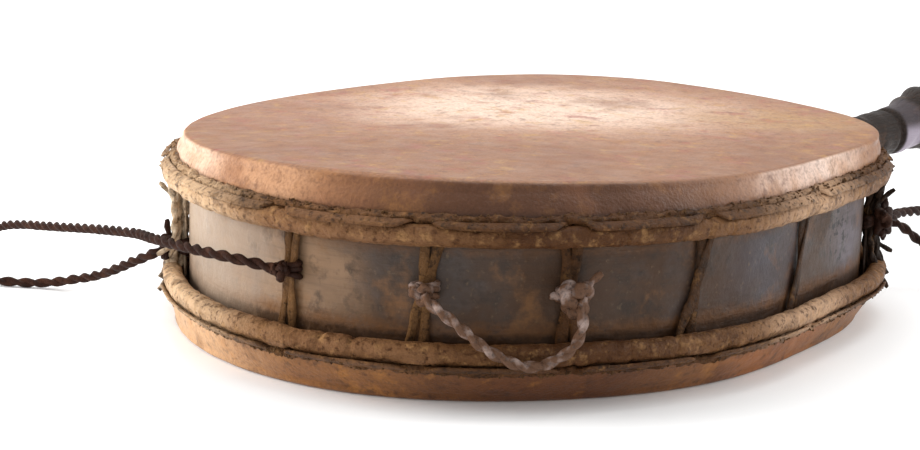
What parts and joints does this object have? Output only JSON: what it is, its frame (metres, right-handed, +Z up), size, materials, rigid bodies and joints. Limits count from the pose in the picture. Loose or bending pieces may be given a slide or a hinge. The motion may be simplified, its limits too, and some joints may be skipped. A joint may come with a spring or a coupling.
{
  "type": "ceremonial ritual drum",
  "caption": "Shallow two-headed hide drum with a bent wood shell, laced hoops, twisted rawhide cord loops and a carved side handle.",
  "frame": {"origin": "centre of the lower head's underside, on the surface the drum lies on", "axes": "+Z up through both heads, along the drum's axis; +X to the right and +Y away in the picture"},
  "size_m": [0.7537, 0.6169, 0.1125],
  "materials": {
    "shell_wood": "aged bent wood, greige to grey-brown, worn satin",
    "upper_hide": "taut brown rawhide, paler near the middle, satin",
    "lower_hide": "taut brown rawhide, satin",
    "hoop_hide": "rolled golden-brown hide over a hoop, cracked and crusted",
    "lacing": "flat rawhide thong, dry and dirty",
    "handle_wood": "dark polished carved wood",
    "cord_rawhide": "twisted dark rawhide, greyish sheen"
  },
  "bodies": {
    "root": {"shell": "shell_wood", "upper_head": "upper_hide", "lower_head": "lower_hide", "upper_hoop": "hoop_hide", "lower_hoop": "hoop_hide", "upper_thong": "lacing", "lower_thong": "lacing", "lace_01": "lacing", "lace_02": "lacing", "lace_03": "lacing", "lace_04": "lacing", "lace_05": "lacing", "lace_06": "lacing", "lace_07": "lacing", "lace_08": "lacing", "lace_09": "lacing", "lace_10": "lacing", "lace_11": "lacing", "lace_12": "lacing", "lace_13": "lacing", "lace_14": "lacing", "handle": "handle_wood", "left_cord": "cord_rawhide", "front_cord": "cord_rawhide", "right_cord": "cord_rawhide", "left_cord_knot_1": "cord_rawhide", "left_cord_knot_2": "cord_rawhide", "front_cord_knot_1": "cord_rawhide", "front_cord_knot_2": "cord_rawhide", "right_cord_knot_1": "cord_rawhide", "right_cord_knot_2": "cord_rawhide"}
  },
  "joints": []
}
